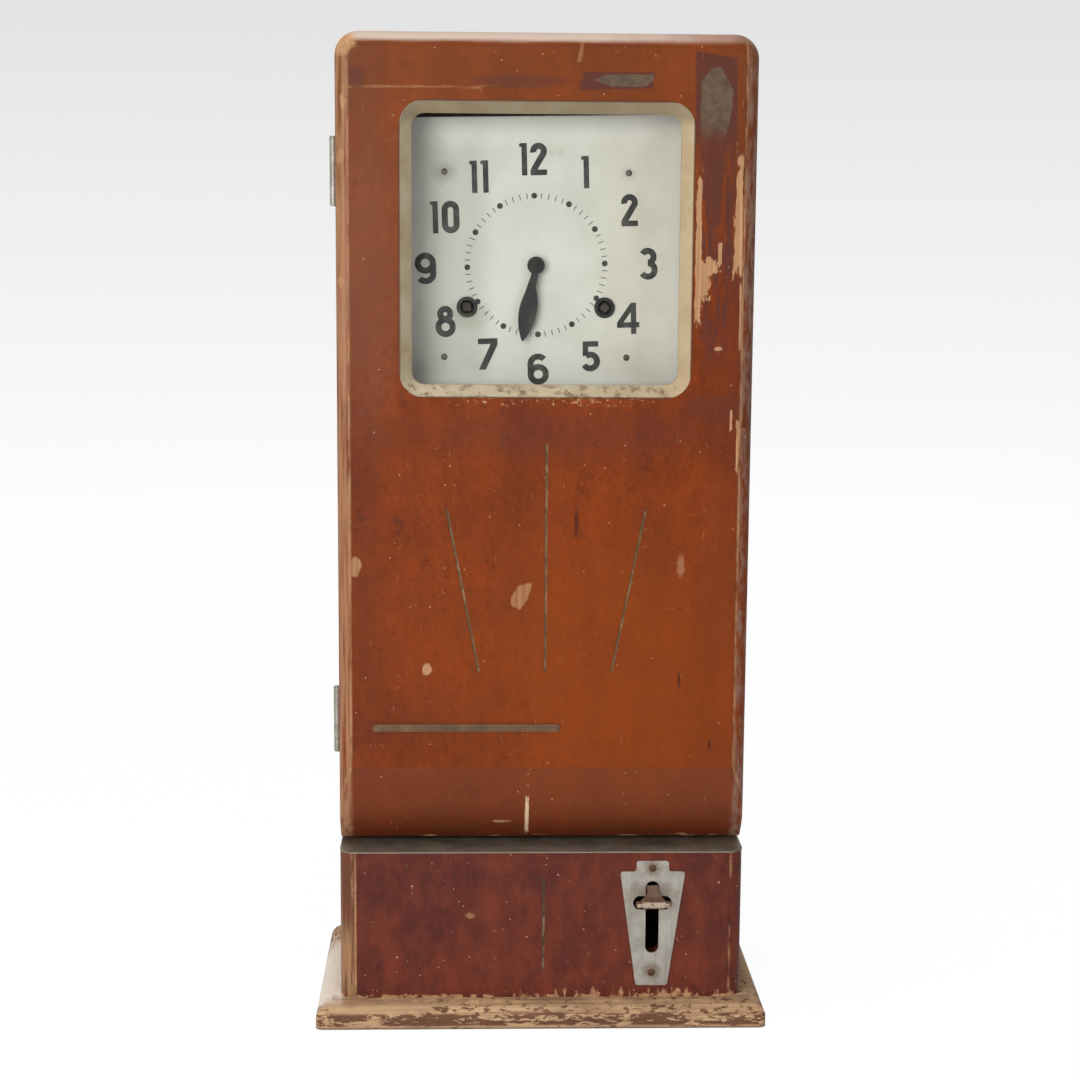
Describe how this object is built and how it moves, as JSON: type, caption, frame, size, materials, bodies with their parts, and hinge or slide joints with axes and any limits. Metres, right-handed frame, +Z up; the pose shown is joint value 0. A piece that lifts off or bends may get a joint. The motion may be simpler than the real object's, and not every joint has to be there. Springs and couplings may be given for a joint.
{
  "type": "time clock",
  "caption": "Upright wooden time clock with glazed dial, hinged door with bowed chin, horizontal card throat over a metal table, and a print lever in a slotted plate.",
  "frame": {"origin": "centre of the base underside bounding box", "axes": "X right, Y back, Z up; the dial faces -Y"},
  "size_m": [0.39, 0.2186, 0.843],
  "materials": {
    "door_wood": "worn brown varnish",
    "case_wood": "worn brown varnish",
    "bare_wood": "mostly bare with paint remains",
    "inner_wood": "raw",
    "cream_paint": "aged cream paint",
    "clear_glass": "polished",
    "worn_steel": "worn",
    "dark_screw": "rusty",
    "bronze_trim": "tarnished",
    "dial_enamel": "aged ivory",
    "black_paint": "satin black",
    "brass": "lacquered",
    "cast_black": "japanned",
    "ribbon_cloth": "inked",
    "lever_paint": "worn brown paint"
  },
  "bodies": {
    "case": {"base_board": "bare_wood", "left_side": "case_wood", "right_side": "case_wood", "top_board": "case_wood", "back_board": "inner_wood", "lower_front_panel": "case_wood", "card_table": "worn_steel", "table_cleats": "inner_wood", "lever_escutcheon": "worn_steel", "escutcheon_screws": "dark_screw", "case_hinge_leaves": "worn_steel", "case_hinge_screws": "dark_screw", "hinge_pins": "worn_steel", "door_catch": "worn_steel", "movement_posts": "worn_steel", "movement_back_plate": "brass", "movement_front_plate": "brass", "movement_pillars": "brass", "dial_plate": "dial_enamel", "dial_screws": "dark_screw", "winding_grommets": "black_paint", "ratchet_clicks": "worn_steel", "pendulum_cock": "brass", "printer_bridge": "worn_steel", "ink_ribbon": "ribbon_cloth", "hammer_stand": "cast_black"},
    "door": {"door_panel": "door_wood", "door_chin_rail": "door_wood", "door_stiles": "inner_wood", "door_top_rail": "inner_wood", "window_bezel": "cream_paint", "glass_pane": "clear_glass", "glass_beads": "inner_wood", "trim_bar": "bronze_trim", "door_hinge_leaves": "worn_steel", "door_hinge_screws": "dark_screw", "catch_tongue": "worn_steel"},
    "minute_hand": {"minute_hand": "black_paint", "hand_nut": "black_paint"},
    "print_lever": {"print_lever": "lever_paint", "rock_shaft": "cast_black"},
    "pendulum": {"pendulum_rod": "brass", "pendulum_bob": "brass"},
    "hour_hand": {"hour_hand": "black_paint"},
    "motion_wheel": {"motion_wheel": "brass"},
    "centre_arbor": {"centre_arbor": "brass"},
    "third_wheel": {"third_wheel": "brass"},
    "escape_wheel": {"escape_wheel": "brass"},
    "intermediate_wheel": {"intermediate_wheel": "brass"},
    "going_barrel": {"going_barrel": "brass"},
    "going_winding_arbor": {"going_winding_arbor": "worn_steel"},
    "printing_barrel": {"printing_barrel": "brass"},
    "printing_winding_arbor": {"printing_winding_arbor": "worn_steel"},
    "lifting_wheel": {"lifting_wheel": "brass"},
    "anchor": {"anchor": "worn_steel"},
    "minute_type_wheel": {"minute_type_wheel": "cast_black"},
    "hour_type_wheel": {"hour_type_wheel": "cast_black"},
    "left_spool": {"left_spool": "black_paint"},
    "right_spool": {"right_spool": "black_paint"},
    "hammer": {"hammer": "cast_black"}
  },
  "joints": [
    {"name": "door_swing", "type": "hinge", "parent": "case", "child": "door", "pos_m": [-0.1779, -0.04425, 0.5], "axis": [0, 0, -1], "range_deg": [0, 170]},
    {"name": "minute_hand_turn", "type": "hinge", "parent": "case", "child": "minute_hand", "pos_m": [-0.007, -0.03875, 0.653], "axis": [0, 1, 0], "continuous": true},
    {"name": "hour_hand_turn", "type": "hinge", "parent": "case", "child": "hour_hand", "pos_m": [-0.007, -0.03875, 0.653], "axis": [0, 1, 0], "continuous": true},
    {"name": "motion_wheel_turn", "type": "hinge", "parent": "case", "child": "motion_wheel", "pos_m": [-0.007, -0.02075, 0.629], "axis": [0, 1, 0], "continuous": true},
    {"name": "third_wheel_turn", "type": "hinge", "parent": "case", "child": "third_wheel", "pos_m": [-0.0205, 0.01125, 0.67638], "axis": [0, 1, 0], "continuous": true},
    {"name": "centre_arbor_turn", "type": "hinge", "parent": "case", "child": "centre_arbor", "pos_m": [-0.007, 0.01125, 0.653], "axis": [0, 1, 0], "continuous": true},
    {"name": "escape_wheel_turn", "type": "hinge", "parent": "case", "child": "escape_wheel", "pos_m": [-0.007, 0.01125, 0.69802], "axis": [0, 1, 0], "continuous": true},
    {"name": "intermediate_wheel_turn", "type": "hinge", "parent": "case", "child": "intermediate_wheel", "pos_m": [0.02538, 0.01125, 0.654], "axis": [0, 1, 0], "continuous": true},
    {"name": "going_barrel_turn", "type": "hinge", "parent": "case", "child": "going_barrel", "pos_m": [0.0517, 0.01125, 0.6175], "axis": [0, 1, 0], "continuous": true},
    {"name": "going_winding_turn", "type": "hinge", "parent": "case", "child": "going_winding_arbor", "pos_m": [0.0517, 0.01125, 0.6175], "axis": [0, 1, 0], "continuous": true},
    {"name": "printing_barrel_turn", "type": "hinge", "parent": "case", "child": "printing_barrel", "pos_m": [-0.0657, 0.01125, 0.6175], "axis": [0, 1, 0], "continuous": true},
    {"name": "printing_winding_turn", "type": "hinge", "parent": "case", "child": "printing_winding_arbor", "pos_m": [-0.0657, 0.01125, 0.6175], "axis": [0, 1, 0], "continuous": true},
    {"name": "lifting_wheel_turn", "type": "hinge", "parent": "case", "child": "lifting_wheel", "pos_m": [-0.03938, 0.01125, 0.654], "axis": [0, 1, 0], "continuous": true},
    {"name": "pendulum_swing", "type": "hinge", "parent": "case", "child": "pendulum", "pos_m": [-0.007, 0.05425, 0.72402], "axis": [0, 1, 0], "range_deg": [-3.5, 3.5]},
    {"name": "anchor_rock", "type": "hinge", "parent": "case", "child": "anchor", "pos_m": [-0.007, 0.03125, 0.72402], "axis": [0, 1, 0], "range_deg": [-3.5, 3.5]},
    {"name": "print_lever_press", "type": "hinge", "parent": "case", "child": "print_lever", "pos_m": [0, -0.00375, 0.095], "axis": [1, 0, 0], "range_deg": [0, 33]},
    {"name": "hammer_lift", "type": "slide", "parent": "case", "child": "hammer", "axis": [0, 0, 1], "range_m": [0, 0.0092]},
    {"name": "minute_type_turn", "type": "hinge", "parent": "case", "child": "minute_type_wheel", "pos_m": [0, 0.01225, 0.1785], "axis": [1, 0, 0], "continuous": true},
    {"name": "hour_type_turn", "type": "hinge", "parent": "case", "child": "hour_type_wheel", "pos_m": [0, 0.01225, 0.1785], "axis": [1, 0, 0], "continuous": true},
    {"name": "left_spool_turn", "type": "hinge", "parent": "case", "child": "left_spool", "pos_m": [-0.08, 0.01225, 0.205], "axis": [0, 1, 0], "continuous": true},
    {"name": "right_spool_turn", "type": "hinge", "parent": "case", "child": "right_spool", "pos_m": [0.08, 0.01225, 0.205], "axis": [0, 1, 0], "continuous": true}
  ],
  "couplings": [
    {"joint": "hour_hand_turn", "follows": "minute_hand_turn", "ratio": 0.083333},
    {"joint": "motion_wheel_turn", "follows": "minute_hand_turn", "ratio": -0.33333},
    {"joint": "third_wheel_turn", "follows": "escape_wheel_turn", "ratio": -0.13333},
    {"joint": "centre_arbor_turn", "follows": "escape_wheel_turn", "ratio": 0.016667},
    {"joint": "intermediate_wheel_turn", "follows": "escape_wheel_turn", "ratio": -0.0033333},
    {"joint": "going_barrel_turn", "follows": "escape_wheel_turn", "ratio": 0.00041667},
    {"joint": "printing_barrel_turn", "follows": "lifting_wheel_turn", "ratio": -0.125},
    {"joint": "anchor_rock", "follows": "pendulum_swing", "ratio": 1},
    {"joint": "hammer_lift", "follows": "print_lever_press", "m_per_rad": 0.01578},
    {"joint": "hour_type_turn", "follows": "minute_type_turn", "ratio": 0.083333},
    {"joint": "right_spool_turn", "follows": "left_spool_turn", "ratio": 1}
  ]
}
